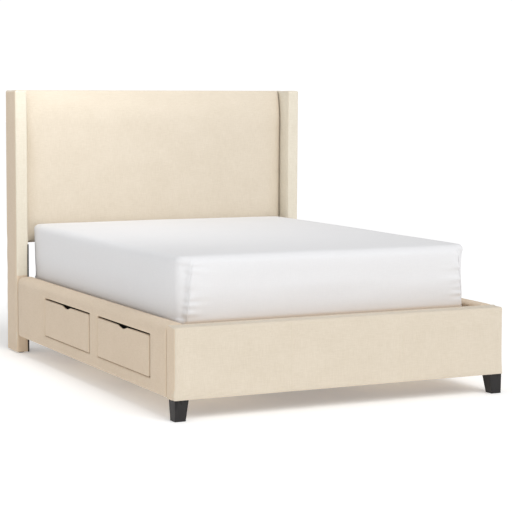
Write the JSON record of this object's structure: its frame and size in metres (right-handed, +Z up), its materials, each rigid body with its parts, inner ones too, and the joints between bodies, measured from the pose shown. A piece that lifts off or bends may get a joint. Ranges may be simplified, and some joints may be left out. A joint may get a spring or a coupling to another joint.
{
  "type": "upholstered wing bed",
  "caption": "Fabric-covered bed with a high padded headboard between wings, low padded rails with storage drawers, tapered front legs, a slatted platform and a mattress with a fitted sheet.",
  "frame": {"origin": "on the floor, at the middle of the bed's length and width", "axes": "+X to the right as seen from the foot of the bed, +Y from the footboard to the headboard, +Z up"},
  "size_m": [1.712, 2.298, 1.424],
  "materials": {
    "linen": "woven linen, matt",
    "plywood": "unfinished plywood",
    "birch_plywood": "clear satin",
    "black_wood": "black satin stain",
    "pine": "planed, unfinished",
    "black_plastic": "moulded",
    "zinc_steel": "zinc plated",
    "mattress_ticking": "knitted ticking",
    "white_cotton": "percale, smooth"
  },
  "bodies": {
    "bed_frame": {"wing_cover_left": "linen", "wing_cover_right": "linen", "headboard_pad": "linen", "headboard_back_cover": "linen", "side_rail_cover_left": "linen", "side_rail_cover_right": "linen", "footboard_cover": "linen", "wing_core_left": "plywood", "wing_core_right": "plywood", "headboard_front_board": "plywood", "side_rail_panel_left": "plywood", "side_rail_panel_right": "plywood", "footboard_panel": "plywood", "wing_liner_left": "black_wood", "wing_liner_right": "black_wood", "headboard_post_left": "black_wood", "headboard_post_right": "black_wood", "front_leg_left": "black_wood", "front_leg_right": "black_wood", "centre_legs": "black_wood", "headboard_cross_rails": "pine", "head_rail": "pine", "side_rail_timbers_left": "pine", "side_rail_timbers_right": "pine", "footboard_timbers": "pine", "slat_cleat_left": "pine", "slat_cleat_right": "pine", "centre_beam": "pine", "slats": "pine", "drawer_bearers_left": "pine", "drawer_bearers_right": "pine", "head_glides": "black_plastic", "centre_feet": "black_plastic", "rail_joint_plates": "zinc_steel", "leg_bolts": "zinc_steel", "beam_hangers": "zinc_steel", "outer_slide_members": "zinc_steel"},
    "drawer_left_foot": {"drawer_left_foot_front": "linen", "drawer_left_foot_walls": "birch_plywood", "drawer_left_foot_bottom": "birch_plywood", "drawer_left_foot_inner_slides": "zinc_steel"},
    "drawer_left_foot_slide_carriage": {"drawer_left_foot_middle_slides": "zinc_steel"},
    "drawer_left_head": {"drawer_left_head_front": "linen", "drawer_left_head_walls": "birch_plywood", "drawer_left_head_bottom": "birch_plywood", "drawer_left_head_inner_slides": "zinc_steel"},
    "drawer_left_head_slide_carriage": {"drawer_left_head_middle_slides": "zinc_steel"},
    "drawer_right_foot": {"drawer_right_foot_front": "linen", "drawer_right_foot_walls": "birch_plywood", "drawer_right_foot_bottom": "birch_plywood", "drawer_right_foot_inner_slides": "zinc_steel"},
    "drawer_right_foot_slide_carriage": {"drawer_right_foot_middle_slides": "zinc_steel"},
    "drawer_right_head": {"drawer_right_head_front": "linen", "drawer_right_head_walls": "birch_plywood", "drawer_right_head_bottom": "birch_plywood", "drawer_right_head_inner_slides": "zinc_steel"},
    "drawer_right_head_slide_carriage": {"drawer_right_head_middle_slides": "zinc_steel"},
    "mattress": {"mattress": "mattress_ticking", "fitted_sheet": "white_cotton"}
  },
  "joints": [
    {"name": "drawer_left_foot_slide", "type": "slide", "parent": "bed_frame", "child": "drawer_left_foot", "axis": [-1, 0, 0], "range_m": [0, 0.5]},
    {"name": "drawer_left_foot_carriage", "type": "slide", "parent": "bed_frame", "child": "drawer_left_foot_slide_carriage", "axis": [-1, 0, 0], "range_m": [0, 0.25]},
    {"name": "drawer_left_head_slide", "type": "slide", "parent": "bed_frame", "child": "drawer_left_head", "axis": [-1, 0, 0], "range_m": [0, 0.5]},
    {"name": "drawer_left_head_carriage", "type": "slide", "parent": "bed_frame", "child": "drawer_left_head_slide_carriage", "axis": [-1, 0, 0], "range_m": [0, 0.25]},
    {"name": "drawer_right_foot_slide", "type": "slide", "parent": "bed_frame", "child": "drawer_right_foot", "axis": [1, 0, 0], "range_m": [0, 0.5]},
    {"name": "drawer_right_foot_carriage", "type": "slide", "parent": "bed_frame", "child": "drawer_right_foot_slide_carriage", "axis": [1, 0, 0], "range_m": [0, 0.25]},
    {"name": "drawer_right_head_slide", "type": "slide", "parent": "bed_frame", "child": "drawer_right_head", "axis": [1, 0, 0], "range_m": [0, 0.5]},
    {"name": "drawer_right_head_carriage", "type": "slide", "parent": "bed_frame", "child": "drawer_right_head_slide_carriage", "axis": [1, 0, 0], "range_m": [0, 0.25]},
    {"name": "mattress_lift", "type": "slide", "parent": "bed_frame", "child": "mattress", "axis": [0, 0, 1], "range_m": [0, 0.35]}
  ],
  "couplings": [
    {"joint": "drawer_left_foot_carriage", "follows": "drawer_left_foot_slide", "ratio": 0.5},
    {"joint": "drawer_left_head_carriage", "follows": "drawer_left_head_slide", "ratio": 0.5},
    {"joint": "drawer_right_foot_carriage", "follows": "drawer_right_foot_slide", "ratio": 0.5},
    {"joint": "drawer_right_head_carriage", "follows": "drawer_right_head_slide", "ratio": 0.5}
  ]
}
